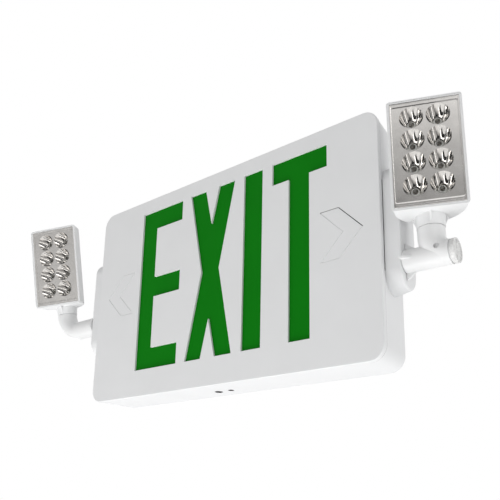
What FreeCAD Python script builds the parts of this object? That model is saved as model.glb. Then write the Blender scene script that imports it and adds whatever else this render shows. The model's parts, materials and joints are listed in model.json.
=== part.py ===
import FreeCAD, Part
import math
import os

# Emergency exit light: a slim sign with a stencilled front, a battery inside,
# and two lamp heads that turn on arms at its sides.
# Millimetres. The origin is the middle of the back face, which lies on the wall.
# +X is the reader's right, -Y comes off the wall towards the reader, +Z is up.

V = FreeCAD.Vector

# ---------------------------------------------------------------- sign body
sign_width = 301.0
sign_height = 190.0
sign_depth = 40.5
corner_radius = 12.0

face_thickness = 1.9
face_return = 4.0            # depth of the rim that the face plate turns back
face_edge_round = 0.9
reveal_gap = 0.5             # open line between the face rim and the housing

housing_wall = 2.2
housing_step = 0.4           # housing lies this far inside the face plate's outline
side_draft = 3.2             # each side wall draws in by this much towards the wall
lip_thickness = 1.5          # rim of the housing that carries the face plate
back_plate_thickness = 2.0
fit_gap = 0.3                # clearance of parts that only sit in one another
over = 1.0                   # every cutter runs past its solid by this much

# ---------------------------------------------------------------- legend
legend_thickness = 1.5
legend_side_margin = 19.5    # from each side of the sign to the panel
legend_end_margin = 9.0
legend_corner = 3.0
snap_width = 14.0
snap_thickness = 1.5
snap_length = 8.0
snap_margin = 50.5           # from each side of the sign to the middle of a snap

# ---------------------------------------------------------------- wall fixing
supply_hole_radius = 11.0
box_screw_spacing = 88.9     # octagon box
gang_screw_spacing = 83.3    # single-gang box
screw_hole_radius = 2.4
keyhole_spacing = 203.2
keyhole_head_radius = 4.5
keyhole_slot_radius = 2.2
keyhole_slot_length = 9.0

# ---------------------------------------------------------------- side pads
right_pad_reach = 12.3       # how far a pad stands out from the side of the sign
left_pad_reach = 16.5
pad_height = 96.4
pad_centre_z = 3.9
pad_base_back = 3.9          # base of the pad ends this far from the wall
pad_front_draft = 0.9
pad_back_draft = 7.6
pad_end_draft = 0.6
pad_edge_round = 1.4
pad_wall = 2.2

# ---------------------------------------------------------------- arms
arm_from_wall = 27.7         # arm axis to the wall
right_arm_z = -25.1
left_arm_z = -13.0
arm_radius = 8.2
arm_bore_radius = 3.4
journal_radius = 5.4
running_fit = 0.05           # radial clearance of each journal
end_play = 0.3
clip_radius = 8.6
clip_thickness = 1.5
clip_groove_depth = 0.8
gusset_length = 8.0
gusset_height = 5.2
gusset_thickness = 1.4
gusset_sink = 0.4            # a rib ends this far under the arm's surface
right_neck_reach = 19.3      # neck axis beyond the face of its pad
left_neck_reach = 46.9
neck_radius = 9.4
right_bend_radius = 13.1
left_bend_radius = 18.0
right_bend_foot = 8.6        # radius of each bend where it meets the level run
left_bend_foot = 7.4
bend_taper = (0.0, 0.1, 0.4, 0.75, 1.0)    # share of the taper reached along the bend
cap_thickness = 2.6
cap_radius = 8.5
cap_groove = 1.3
cap_neck_radius = 7.5
cap_recess = 0.6
cap_rim = 1.1
cap_rib = 1.2
sleeve_radius = 9.0          # thicker sleeve along the level run of the left arm
dimple_radius = 2.0
dimple_depth = 0.8
dimple_right = 5.8           # from the neck axis
dimple_rise = 3.4            # from the arm axis

right_arm_tilt = 2.0         # degrees forward from upright
left_arm_tilt = 11.0
head_turn = 22.5             # degrees, both heads turned to the reader's right

# ---------------------------------------------------------------- lamp heads
head_base = 27.6             # bottom of the head above the arm axis
head_height = 80.9
head_front_half = 25.0
head_side_half = 23.2
head_front = 17.0            # front rim ahead of the neck axis
head_side_end = 6.5          # the straight sides end this far ahead of the neck axis
head_back = 10.6
head_corner = 11.0           # radius where the sides turn into the rounded back
head_wall = 1.8
head_edge_round = 2.2
socket_foot = 19.5           # lower end of the socket above the arm axis
socket_foot_radius = 9.6
socket_top_radius = 10.3
socket_inner_radius = 8.4
socket_inner_rise = 3.0
socket_rib_radius = 12.4
socket_rib_foot = 21.4
neck_journal_radius = 6.0
neck_bore_radius = 3.8
neck_clip_radius = 8.2
neck_clip_thickness = 1.2
neck_end_rise = 0.8

lens_width = 49.4
lens_height = 78.1
lens_flange = 1.2
lens_window_width = 44.2
lens_window_height = 72.6
lens_window_rise = 1.0
lens_corner = 1.6

reflector_flange = 1.0
reflector_flange_width = 45.4
reflector_flange_height = 75.6
reflector_block_width = 37.4
reflector_block_height = 69.0
reflector_depth = 10.0
ledge_height = 60.0          # ledges inside the shell that carry the reflector's flange
ledge_depth = 6.0
cup_columns = 2
cup_rows = 4
cup_column_pitch = 17.6
cup_row_pitch = 16.8
cup_rise = 1.2               # cup group sits this far above the middle of the lens
cup_mouth_radius = 8.1
cup_throat_radius = 2.5
cup_bulge = 1.5
led_radius = 1.9
led_height = 1.9
led_board_thickness = 1.6

# ---------------------------------------------------------------- works inside
board_width = 84.0
board_height = 34.0
board_thickness = 1.6
board_front = 12.4           # front of the circuit board, off the wall
board_centre_x = -14.0
board_margin = 6.4           # its lower edge above the housing's floor
standoff_radius = 3.0
standoff_inset = 5.0
transformer_core = (34.0, 15.6, 30.0)
transformer_bobbin = (20.4, 26.0, 21.6)
transformer_x = -84.0
transformer_margin = 4.4
cell_radius = 7.2
cell_length = 50.0
cell_count = 3
cell_overlap = 0.4           # shrink sleeve joins neighbouring cells
pack_centre_x = 74.0
pack_margin = 1.4
bracket_thickness = 1.2
bracket_width = 12.0
bracket_foot = 8.0
bracket_gap = 0.1
strip_margin = 34.5          # from each side of the sign to the strip
strip_width = 9.0
strip_thickness = 1.6
strip_led_count = 12
strip_led_size = 3.0
strip_led_height = 1.2
strip_from_wall = 24.0

button_x = -14.6
pilot_x = -1.3
button_from_wall = 15.7
button_radius = 3.1
button_hole_gap = 0.3
button_sink = 0.8            # button face lies this far up inside its hole
button_travel = 1.2
button_head_length = 6.0
button_collar_radius = 4.3
button_collar_length = 1.4
button_edge_round = 0.5
switch_size = (7.0, 6.0, 6.0)
switch_gap = 0.2
pilot_radius = 2.3
pilot_length = 7.0
pilot_sink = 0.4
pilot_edge_round = 1.2
pilot_base_radius = 3.2
pilot_base_length = 2.0

capacitor_drop = 9.0         # below the top edge of the circuit board
capacitors = (               # x, radius, length
    (-40.0, 5.0, 12.0),
    (-27.0, 5.0, 12.0),
    (8.0, 3.2, 8.0),
    (17.0, 3.2, 8.0),
)

# ---------------------------------------------------------------- worked out
face_y = -sign_depth
face_back_y = face_y + face_thickness
rim_y = face_y + face_return
housing_front_y = rim_y + reveal_gap
housing_half_width = sign_width / 2 - housing_step
housing_half_height = sign_height / 2 - housing_step
housing_corner = corner_radius - housing_step
right_pad_face_x = housing_half_width + right_pad_reach
left_pad_face_x = housing_half_width + left_pad_reach
arm_y = -arm_from_wall
right_neck_x = right_pad_face_x + right_neck_reach
left_neck_x = -left_pad_face_x - left_neck_reach
right_arm_end_x = right_neck_x + right_bend_radius
bottom_inner_z = -housing_half_height + housing_wall
board_foot_z = bottom_inner_z + board_margin
transformer_z = bottom_inner_z + transformer_margin + transformer_core[2] / 2
pack_centre_z = bottom_inner_z + pack_margin + cell_length / 2
legend_width = sign_width - 2 * legend_side_margin
legend_height = sign_height - 2 * legend_end_margin
strip_length = sign_width - 2 * strip_margin


# ---------------------------------------------------------------- small helpers
def rounded_rectangle(half_x, half_z, radius, y):
    """Closed wire in a plane across Y, drawn round from the lower left."""
    r = radius
    k = r * math.sqrt(0.5)
    corners = ((1, -1), (1, 1), (-1, 1), (-1, -1))
    edges = []
    for index, (sx, sz) in enumerate(corners):
        cx, cz = sx * (half_x - r), sz * (half_z - r)
        side = V(sx * half_x, y, cz)
        level = V(cx, y, sz * half_z)
        middle = V(cx + sx * k, y, cz + sz * k)
        first, last = (level, side) if index % 2 == 0 else (side, level)
        if edges:
            edges.append(Part.LineSegment(previous, first).toShape())
        else:
            start = first
        edges.append(Part.Arc(first, middle, last).toShape())
        previous = last
    edges.append(Part.LineSegment(previous, start).toShape())
    return Part.Wire(edges)


def rounded_plate(half_x, half_z, radius, y_front, y_back):
    wire = rounded_rectangle(half_x, half_z, radius, y_front)
    return Part.Face(wire).extrude(V(0, y_back - y_front, 0))


def box(x0, x1, y0, y1, z0, z1):
    return Part.makeBox(x1 - x0, y1 - y0, z1 - z0, V(x0, y0, z0))


def block(cx, cy, cz, sx, sy, sz):
    return box(cx - sx / 2, cx + sx / 2, cy - sy / 2, cy + sy / 2, cz - sz / 2, cz + sz / 2)


def rod(start, direction, length, radius):
    return Part.makeCylinder(radius, length, start, direction)


def fuse_all(shapes):
    result = shapes[0].multiFuse(shapes[1:]) if len(shapes) > 1 else shapes[0]
    return result.removeSplitter()


def turned(shape, base, axis, degrees):
    result = shape.copy()
    result.rotate(base, axis, degrees)
    return result


# ---------------------------------------------------------------- sign body
def housing_solid(inset, y_front, y_back):
    """Solid inside the housing's drafted outline, drawn in by inset."""
    def outline(y):
        share = (y - housing_front_y) / -housing_front_y
        half_x = housing_half_width - side_draft * share - inset
        half_z = housing_half_height - inset
        return rounded_rectangle(half_x, half_z, housing_corner - inset, y)
    return Part.makeLoft([outline(y_front), outline(y_back)], True, True)


def make_face_plate():
    outer = rounded_plate(sign_width / 2, sign_height / 2, corner_radius, face_y, rim_y)
    front_edges = [e for e in outer.Edges if abs(e.BoundBox.YMax - face_y) < 0.01]
    outer = outer.makeFillet(face_edge_round, front_edges)
    rim = housing_step + housing_wall - lip_thickness
    hollow = rounded_plate(sign_width / 2 - rim, sign_height / 2 - rim, corner_radius - rim,
                           face_back_y, rim_y + over)
    plate = outer.cut(hollow)
    snaps = []
    for side_x in (-1, 1):
        for side_z in (-1, 1):
            z = side_z * (housing_half_height - housing_wall - fit_gap - snap_thickness / 2)
            snaps.append(block(side_x * (sign_width / 2 - snap_margin),
                               face_back_y + snap_length / 2, z,
                               snap_width, snap_length, snap_thickness))
    return fuse_all([plate] + snaps)


def make_legend_panel():
    return rounded_plate(legend_width / 2, legend_height / 2, legend_corner,
                         face_back_y, face_back_y + legend_thickness)


def make_housing_frame():
    outer = housing_solid(0, housing_front_y, 0)
    inner = housing_solid(housing_wall, housing_front_y - over, over)
    frame = outer.cut(inner)
    lip_out = housing_wall - lip_thickness + fit_gap
    lip = rounded_plate(housing_half_width - lip_out, housing_half_height - lip_out,
                        housing_corner - lip_out, face_back_y, housing_front_y + over)
    lip = lip.cut(housing_solid(housing_wall, face_back_y - over, housing_front_y + 2 * over))
    frame = fuse_all([frame, lip])
    through = housing_wall + 2 * over
    foot = -sign_height / 2
    holes = [rod(V(button_x, -button_from_wall, foot), V(0, 0, 1), through,
                 button_radius + button_hole_gap),
             rod(V(pilot_x, -button_from_wall, foot), V(0, 0, 1), through,
                 pilot_radius + running_fit)]
    for side, z in ((1, right_arm_z), (-1, left_arm_z)):
        start = V(side * (housing_half_width - side_draft - housing_wall - over), arm_y, z)
        holes.append(rod(start, V(side, 0, 0), side_draft + through, journal_radius + fit_gap))
    for hole in holes:
        frame = frame.cut(hole)
    return frame


def keyhole(x):
    y = -back_plate_thickness - over
    reach = back_plate_thickness + 2 * over
    head = rod(V(x, y, 0), V(0, 1, 0), reach, keyhole_head_radius)
    top = rod(V(x, y, keyhole_slot_length), V(0, 1, 0), reach, keyhole_slot_radius)
    slot = box(x - keyhole_slot_radius, x + keyhole_slot_radius, y, y + reach,
               0, keyhole_slot_length)
    return fuse_all([head, top, slot])


def make_back_plate():
    half_x = housing_half_width - side_draft - housing_wall - fit_gap
    half_z = housing_half_height - housing_wall - fit_gap
    plate = rounded_plate(half_x, half_z, housing_corner - housing_wall - fit_gap,
                          -back_plate_thickness, 0)
    y = -back_plate_thickness - over
    reach = back_plate_thickness + 2 * over
    cuts = [rod(V(0, y, 0), V(0, 1, 0), reach, supply_hole_radius)]
    for side in (-1, 1):
        cuts.append(rod(V(side * box_screw_spacing / 2, y, 0), V(0, 1, 0), reach,
                        screw_hole_radius))
        cuts.append(rod(V(0, y, side * gang_screw_spacing / 2), V(0, 1, 0), reach,
                        screw_hole_radius))
        cuts.append(keyhole(side * keyhole_spacing / 2))
    for cut in cuts:
        plate = plate.cut(cut)
    standoffs = []
    length = board_front - board_thickness - back_plate_thickness
    for side_x in (-1, 1):
        for side_z in (-1, 1):
            x = board_centre_x + side_x * (board_width / 2 - standoff_inset)
            z = board_foot_z + board_height / 2 + side_z * (board_height / 2 - standoff_inset)
            standoffs.append(rod(V(x, -back_plate_thickness, z), V(0, -1, 0), length,
                                 standoff_radius))
    return fuse_all([plate] + standoffs)


# ---------------------------------------------------------------- side pads
def upright_slot(x, y_front, y_back, height, centre_z):
    """Closed wire with round ends, in a plane across X."""
    r = (y_back - y_front) / 2
    cy = (y_front + y_back) / 2
    top = centre_z + height / 2 - r
    foot = centre_z - height / 2 + r
    return Part.Wire([
        Part.LineSegment(V(x, y_front, foot), V(x, y_front, top)).toShape(),
        Part.Arc(V(x, y_front, top), V(x, cy, top + r), V(x, y_back, top)).toShape(),
        Part.LineSegment(V(x, y_back, top), V(x, y_back, foot)).toShape(),
        Part.Arc(V(x, y_back, foot), V(x, cy, foot - r), V(x, y_front, foot)).toShape(),
    ])


def pad_solid(inset, x_face):
    base_x = housing_half_width
    root_x = base_x - side_draft - housing_wall
    front = housing_front_y + inset
    back = -pad_base_back - inset
    height = pad_height - 2 * inset
    root = Part.Face(upright_slot(root_x, front, back, height, pad_centre_z))
    root = root.extrude(V(base_x - root_x, 0, 0))
    tip = upright_slot(x_face, front + pad_front_draft, back - pad_back_draft,
                       height - 2 * pad_end_draft, pad_centre_z)
    cone = Part.makeLoft([upright_slot(base_x, front, back, height, pad_centre_z), tip],
                         True, True)
    return cone, root


def pad_face(side):
    return right_pad_face_x if side > 0 else left_pad_face_x


def make_mount_pad(side, arm_z):
    pad_face_x = pad_face(side)
    cone, root = pad_solid(0, pad_face_x)
    rim = [e for e in cone.Edges if abs(e.BoundBox.XMin - pad_face_x) < 0.01]
    cone = cone.makeFillet(pad_edge_round, rim)
    pad = fuse_all([cone, root])
    hollow = fuse_all(list(pad_solid(pad_wall, pad_face_x - pad_wall)))
    pad = pad.cut(hollow)
    inner_x = housing_half_width - side_draft - housing_wall
    length = pad_face_x - inner_x
    wall = journal_radius + running_fit + pad_wall
    sleeve = rod(V(inner_x, arm_y, arm_z), V(1, 0, 0), length - pad_edge_round, wall)
    pad = fuse_all([pad, sleeve.common(fuse_all([cone, root]))])
    pad = pad.cut(rod(V(inner_x - over, arm_y, arm_z), V(1, 0, 0), length + 2 * over,
                      journal_radius + running_fit))
    pad = pad.cut(housing_solid(0, housing_front_y - over, 0))
    if side < 0:
        pad = pad.mirror(V(0, 0, 0), V(1, 0, 0))
    return pad


# ---------------------------------------------------------------- arms
def neck_place(side):
    return (right_neck_x, right_arm_z) if side > 0 else (left_neck_x, left_arm_z)


def tilt(shape, side):
    """Turn a shape that was drawn upright to its arm's resting tilt."""
    angle = right_arm_tilt if side > 0 else left_arm_tilt
    arm_z = right_arm_z if side > 0 else left_arm_z
    return turned(shape, V(0, arm_y, arm_z), V(1, 0, 0), angle)


def bend(neck_x, arm_z, bend_radius, foot_radius):
    """Round bend from the upright neck at neck_x out to the level run on its right."""
    centre_x = neck_x + bend_radius
    centre_z = arm_z + bend_radius
    sections = []
    steps = len(bend_taper) - 1
    for index, share in enumerate(bend_taper):
        radius = neck_radius + (foot_radius - neck_radius) * share
        angle = math.radians(90.0 * index / steps)
        x = centre_x - bend_radius * math.cos(angle)
        z = centre_z - bend_radius * math.sin(angle)
        direction = V(math.sin(angle), 0, -math.cos(angle))
        circle = Part.Circle(V(x, arm_y, z), direction, radius)
        sections.append(Part.Wire([circle.toShape()]))
    return Part.makeLoft(sections, True, False)


def bend_bore(neck_x, arm_z, bend_radius):
    circle = Part.Wire([Part.Circle(V(neck_x, arm_y, arm_z + bend_radius), V(0, 0, 1),
                                    neck_bore_radius).toShape()])
    return Part.Face(circle).revolve(V(neck_x + bend_radius, arm_y, arm_z + bend_radius),
                                     V(0, -1, 0), 90)


def neck_clip_foot(arm_z):
    return arm_z + head_base + socket_inner_rise + end_play


def neck_post(neck_x, arm_z, bend_radius):
    """Upright neck with its journal, from the top of the bend."""
    foot = arm_z + bend_radius
    shoulder = arm_z + socket_foot - end_play
    clip_foot = neck_clip_foot(arm_z)
    top = clip_foot + neck_clip_thickness + neck_end_rise
    neck = rod(V(neck_x, arm_y, foot), V(0, 0, 1), shoulder - foot, neck_radius)
    journal = rod(V(neck_x, arm_y, shoulder - over), V(0, 0, 1), top - shoulder + over,
                  neck_journal_radius)
    groove = rod(V(neck_x, arm_y, clip_foot), V(0, 0, 1), neck_clip_thickness,
                 neck_journal_radius + over)
    groove = groove.cut(rod(V(neck_x, arm_y, clip_foot), V(0, 0, 1), neck_clip_thickness,
                            neck_journal_radius - clip_groove_depth))
    bore = rod(V(neck_x, arm_y, foot), V(0, 0, 1), top - foot + over, neck_bore_radius)
    return [neck, journal], groove, bore


def gussets(x, arm_z, direction):
    """Four ribs round the root of an arm that starts at x."""
    ribs = []
    for turn in range(4):
        points = [V(x, 0, 0), V(x, 0, arm_radius + gusset_height),
                  V(x + direction * gusset_length, 0, arm_radius - gusset_sink),
                  V(x + direction * gusset_length, 0, 0)]
        wire = Part.makePolygon(points + points[:1])
        rib = Part.Face(wire).extrude(V(0, gusset_thickness, 0))
        rib.translate(V(0, -gusset_thickness / 2, 0))
        rib.rotate(V(0, 0, 0), V(1, 0, 0), 90 * turn)
        rib.translate(V(0, arm_y, arm_z))
        ribs.append(rib)
    return ribs


def journal_shapes(side, arm_z):
    """Journal that passes the pad and the housing wall, its clip groove and its bore."""
    shoulder = side * (pad_face(side) + end_play)
    wall_share = 1 - (arm_y + clip_radius) / housing_front_y
    wall_x = housing_half_width - side_draft * wall_share - housing_wall
    clip_x = wall_x - end_play - clip_thickness
    end_x = clip_x - clip_thickness
    length = abs(shoulder) - end_x
    journal = rod(V(side * end_x, arm_y, arm_z), V(side, 0, 0), length + over, journal_radius)
    groove = rod(V(side * clip_x, arm_y, arm_z), V(side, 0, 0), clip_thickness, clip_radius)
    groove = groove.cut(rod(V(side * clip_x, arm_y, arm_z), V(side, 0, 0), clip_thickness,
                            journal_radius - clip_groove_depth))
    return journal, groove, shoulder, end_x, clip_x


def make_right_arm():
    journal, groove, shoulder, end_x, _ = journal_shapes(1, right_arm_z)
    run = rod(V(shoulder, arm_y, right_arm_z), V(1, 0, 0), right_arm_end_x - shoulder, arm_radius)
    elbow = bend(right_neck_x, right_arm_z, right_bend_radius, right_bend_foot)
    solids, neck_groove, neck_bore = neck_post(right_neck_x, right_arm_z, right_bend_radius)
    stub = rod(V(right_arm_end_x - over, arm_y, right_arm_z), V(1, 0, 0), cap_groove + over,
               cap_neck_radius)
    arm = fuse_all([run, elbow, journal, stub] + solids + gussets(shoulder, right_arm_z, 1))
    bore = rod(V(end_x - over, arm_y, right_arm_z), V(1, 0, 0),
               right_arm_end_x - end_x + over, arm_bore_radius)
    for cut in (groove, neck_groove, neck_bore, bore,
                bend_bore(right_neck_x, right_arm_z, right_bend_radius)):
        arm = arm.cut(cut)
    dimple_x = right_neck_x + dimple_right
    dimple_z = right_arm_z + dimple_rise
    wall_y = arm_y - math.sqrt(arm_radius ** 2 - dimple_rise ** 2)
    dimple = rod(V(dimple_x, wall_y - 2 * over, dimple_z), V(0, 1, 0),
                 2 * over + dimple_depth, dimple_radius)
    return tilt(arm.cut(dimple), 1)


def make_right_arm_end_cap():
    start = right_arm_end_x + cap_groove
    disc = rod(V(start, arm_y, right_arm_z), V(1, 0, 0), cap_thickness, cap_radius)
    recess_x = start + cap_thickness - cap_recess
    disc = disc.cut(rod(V(recess_x, arm_y, right_arm_z), V(1, 0, 0), cap_recess + over,
                        cap_radius - cap_rim))
    span = 2 * cap_radius - cap_rim
    ribs = [block(recess_x, arm_y, right_arm_z, cap_recess, cap_rib, span),
            block(recess_x, arm_y, right_arm_z, cap_recess, span, cap_rib)]
    return tilt(fuse_all([disc] + ribs), 1)


def make_left_arm():
    journal, groove, shoulder, end_x, _ = journal_shapes(-1, left_arm_z)
    run_start = left_neck_x + left_bend_radius
    sleeve = rod(V(run_start, arm_y, left_arm_z), V(1, 0, 0), shoulder - run_start,
                 sleeve_radius)
    elbow = bend(left_neck_x, left_arm_z, left_bend_radius, left_bend_foot)
    solids, neck_groove, neck_bore = neck_post(left_neck_x, left_arm_z, left_bend_radius)
    arm = fuse_all([sleeve, elbow, journal] + solids)
    bore = rod(V(run_start, arm_y, left_arm_z), V(1, 0, 0), -end_x + over - run_start,
               arm_bore_radius)
    for cut in (groove, neck_groove, neck_bore, bore,
                bend_bore(left_neck_x, left_arm_z, left_bend_radius)):
        arm = arm.cut(cut)
    return tilt(arm, -1)


def make_arm_clip(side, arm_z):
    _, _, _, _, clip_x = journal_shapes(side, arm_z)
    ring = rod(V(side * clip_x, arm_y, arm_z), V(side, 0, 0), clip_thickness, clip_radius)
    ring = ring.cut(rod(V(side * clip_x, arm_y, arm_z), V(side, 0, 0), clip_thickness,
                        journal_radius - clip_groove_depth))
    gap = block(side * (clip_x + clip_thickness / 2), arm_y, arm_z - clip_radius,
                2 * clip_thickness, journal_radius, 2 * (clip_radius - journal_radius + over))
    return tilt(ring.cut(gap), side)


def make_neck_clip(side):
    neck_x, arm_z = neck_place(side)
    foot = neck_clip_foot(arm_z)
    ring = rod(V(neck_x, arm_y, foot), V(0, 0, 1), neck_clip_thickness, neck_clip_radius)
    ring = ring.cut(rod(V(neck_x, arm_y, foot), V(0, 0, 1), neck_clip_thickness,
                        neck_journal_radius - clip_groove_depth))
    gap = block(neck_x, arm_y + neck_clip_radius, foot + neck_clip_thickness / 2,
                neck_journal_radius, 2 * (neck_clip_radius - neck_journal_radius + over),
                2 * neck_clip_thickness)
    return tilt(ring.cut(gap), side)


# ---------------------------------------------------------------- lamp heads
# A head is drawn facing -Y with the crossing of its neck and arm axes at the origin.
def place_head(shape, side):
    neck_x, arm_z = neck_place(side)
    result = turned(shape, V(0, 0, 0), V(0, 0, 1), head_turn)
    result.translate(V(neck_x, arm_y, arm_z))
    return tilt(result, side)


def lens_middle():
    return head_base + head_height / 2


def head_outline(inset, z, front):
    """Flat front, slightly drawn-in sides and a back of three arcs, all tangent."""
    lean = math.atan2(head_front_half - head_side_half, head_front - head_side_end)
    centre_x = head_side_half - head_corner * math.cos(lean)
    centre_y = -head_side_end - head_corner * math.sin(lean)
    depth = head_back - centre_y
    wide = (centre_x ** 2 + depth ** 2 - head_corner ** 2) / (2 * (depth - head_corner))
    turn_end = math.atan2(wide - depth, centre_x)
    corner = head_corner - inset

    def corner_point(side, turn):
        return V(side * (centre_x + corner * math.cos(turn)),
                 centre_y + corner * math.sin(turn), z)
    start = corner_point(1, lean)
    front_x = start.x + (start.y + front) * math.tan(lean)
    middle = (lean + turn_end) / 2
    return Part.Wire([
        Part.LineSegment(corner_point(-1, lean), V(-front_x, -front, z)).toShape(),
        Part.LineSegment(V(-front_x, -front, z), V(front_x, -front, z)).toShape(),
        Part.LineSegment(V(front_x, -front, z), start).toShape(),
        Part.Arc(start, corner_point(1, middle), corner_point(1, turn_end)).toShape(),
        Part.Arc(corner_point(1, turn_end), V(0, head_back - inset, z),
                 corner_point(-1, turn_end)).toShape(),
        Part.Arc(corner_point(-1, turn_end), corner_point(-1, middle),
                 corner_point(-1, lean)).toShape(),
    ])


def socket_ribs():
    ribs = []
    for turn in range(4):
        outer = min(socket_rib_radius, head_back) if turn == 2 else socket_rib_radius
        points = [V(0, 0, socket_rib_foot), V(0, -socket_foot_radius, socket_rib_foot),
                  V(0, -outer, head_base), V(0, 0, head_base)]
        rib = Part.Face(Part.makePolygon(points + points[:1])).extrude(V(gusset_thickness, 0, 0))
        rib.translate(V(-gusset_thickness / 2, 0, 0))
        rib.rotate(V(0, 0, 0), V(0, 0, 1), 90 * turn)
        ribs.append(rib)
    return ribs


def make_head_shell():
    body = Part.Face(head_outline(0, head_base, head_front)).extrude(V(0, 0, head_height))
    rounded = [e for e in body.Edges
               if e.BoundBox.ZLength < 0.01 and isinstance(e.Curve, Part.Circle)]
    body = body.makeFillet(head_edge_round, rounded)
    cavity = Part.Face(head_outline(head_wall, head_base + head_wall, head_front + over))
    body = body.cut(cavity.extrude(V(0, 0, head_height - 2 * head_wall)))
    ledges = []
    flange_back = -head_front + reflector_flange
    inner = reflector_block_width / 2 + fit_gap
    outer = head_front_half - head_wall
    for side in (-1, 1):
        ledges.append(block(side * (inner + outer) / 2, flange_back + ledge_depth / 2,
                            lens_middle(), outer - inner, ledge_depth, ledge_height))
    socket = Part.makeCone(socket_foot_radius, socket_top_radius, head_base - socket_foot,
                           V(0, 0, socket_foot), V(0, 0, 1))
    rise = rod(V(0, 0, head_base), V(0, 0, 1), socket_inner_rise, socket_inner_radius)
    shell = fuse_all([body, socket, rise] + socket_ribs() + ledges)
    return shell.cut(rod(V(0, 0, socket_foot - over), V(0, 0, 1),
                         head_base - socket_foot + socket_inner_rise + 2 * over,
                         neck_journal_radius + running_fit))


def make_head_lens():
    z = lens_middle()
    flange = rounded_plate(lens_width / 2, lens_height / 2, lens_corner,
                           -head_front - lens_flange, -head_front)
    window = rounded_plate(lens_window_width / 2, lens_window_height / 2, lens_corner,
                           -head_front - lens_flange - lens_window_rise, -head_front)
    lens = fuse_all([flange, window])
    lens.translate(V(0, 0, z))
    return lens


def cup_places():
    places = []
    for column in range(cup_columns):
        for row in range(cup_rows):
            x = (column - (cup_columns - 1) / 2) * cup_column_pitch
            z = (row - (cup_rows - 1) / 2) * cup_row_pitch
            places.append((x, lens_middle() + cup_rise + z))
    return places


def cup_cutter():
    """Bowl that opens towards -Y with its mouth at the origin."""
    depth = reflector_depth + over
    middle = V((cup_mouth_radius + cup_throat_radius) / 2 + cup_bulge, depth / 2 + cup_bulge / 2, 0)
    wall = Part.Arc(V(cup_mouth_radius, 0, 0), middle, V(cup_throat_radius, depth, 0)).toShape()
    profile = Part.Wire([
        Part.LineSegment(V(0, -1, 0), V(cup_mouth_radius, -1, 0)).toShape(),
        Part.LineSegment(V(cup_mouth_radius, -1, 0), V(cup_mouth_radius, 0, 0)).toShape(),
        wall,
        Part.LineSegment(V(cup_throat_radius, depth, 0), V(0, depth, 0)).toShape(),
        Part.LineSegment(V(0, depth, 0), V(0, -1, 0)).toShape(),
    ])
    return Part.Face(profile).revolve(V(0, 0, 0), V(0, 1, 0), 360)


def make_reflector():
    z = lens_middle()
    flange = block(0, -head_front + reflector_flange / 2, z, reflector_flange_width,
                   reflector_flange, reflector_flange_height)
    core = block(0, -head_front + reflector_depth / 2, z, reflector_block_width,
                 reflector_depth, reflector_block_height)
    reflector = fuse_all([flange, core])
    cutter = cup_cutter()
    for x, cup_z in cup_places():
        cup = cutter.copy()
        cup.translate(V(x, -head_front, cup_z))
        reflector = reflector.cut(cup)
    return reflector


def make_led_board():
    return block(0, -head_front + reflector_depth + led_board_thickness / 2, lens_middle(),
                 reflector_block_width, led_board_thickness, reflector_block_height)


def make_leds():
    leds = []
    y = -head_front + reflector_depth
    for x, z in cup_places():
        body = rod(V(x, y, z), V(0, -1, 0), led_height - led_radius / 2, led_radius)
        dome = Part.makeSphere(led_radius, V(x, y - led_height + led_radius, z))
        span = 2 * led_radius + over
        dome = dome.common(block(x, y - led_height / 2, z, span, led_height, span))
        leds.append(body.fuse(dome).removeSplitter())
    return Part.makeCompound([s for led in leds for s in led.Solids])


# ---------------------------------------------------------------- works inside
def make_charger_board():
    return box(board_centre_x - board_width / 2, board_centre_x + board_width / 2,
               -board_front, -board_front + board_thickness,
               board_foot_z, board_foot_z + board_height)


def make_transformer():
    shapes = []
    middle_y = -back_plate_thickness - transformer_bobbin[1] / 2
    for width, depth, height in (transformer_core, transformer_bobbin):
        shapes.append(block(transformer_x, middle_y, transformer_z, width, depth, height))
    return fuse_all(shapes)


def make_capacitors():
    z = board_foot_z + board_height - capacitor_drop
    parts = []
    for x, radius, length in capacitors:
        parts.append(rod(V(x, -board_front, z), V(0, -1, 0), length, radius))
    return Part.makeCompound(parts)


def make_test_switch():
    width, depth, height = switch_size
    face = button_top() + button_travel + switch_gap
    return box(button_x - width / 2, button_x + width / 2, -button_from_wall - depth / 2,
               -board_front, face, face + height)


def button_top():
    return -housing_half_height + button_sink + button_head_length


def make_test_button():
    foot = -housing_half_height + button_sink
    stem = rod(V(button_x, -button_from_wall, foot), V(0, 0, 1), button_head_length, button_radius)
    collar = rod(V(button_x, -button_from_wall, bottom_inner_z + fit_gap), V(0, 0, 1),
                 button_collar_length, button_collar_radius)
    button = fuse_all([stem, collar])
    edge = [e for e in button.Edges if abs(e.BoundBox.ZMax - foot) < 0.01]
    return button.makeFillet(button_edge_round, edge)


def make_pilot_light():
    foot = -housing_half_height + pilot_sink
    lens = rod(V(pilot_x, -button_from_wall, foot), V(0, 0, 1), pilot_length, pilot_radius)
    edge = [e for e in lens.Edges if abs(e.BoundBox.ZMax - foot) < 0.01]
    lens = lens.makeFillet(pilot_edge_round, edge)
    base = rod(V(pilot_x, -button_from_wall, foot + pilot_length), V(0, 0, 1),
               pilot_base_length, pilot_base_radius)
    return fuse_all([lens, base])


def make_battery_pack():
    pitch = 2 * cell_radius - cell_overlap
    cells = []
    for index in range(cell_count):
        x = pack_centre_x + (index - (cell_count - 1) / 2) * pitch
        cells.append(rod(V(x, -back_plate_thickness - cell_radius, pack_centre_z - cell_length / 2),
                         V(0, 0, 1), cell_length, cell_radius))
    return fuse_all(cells)


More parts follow.
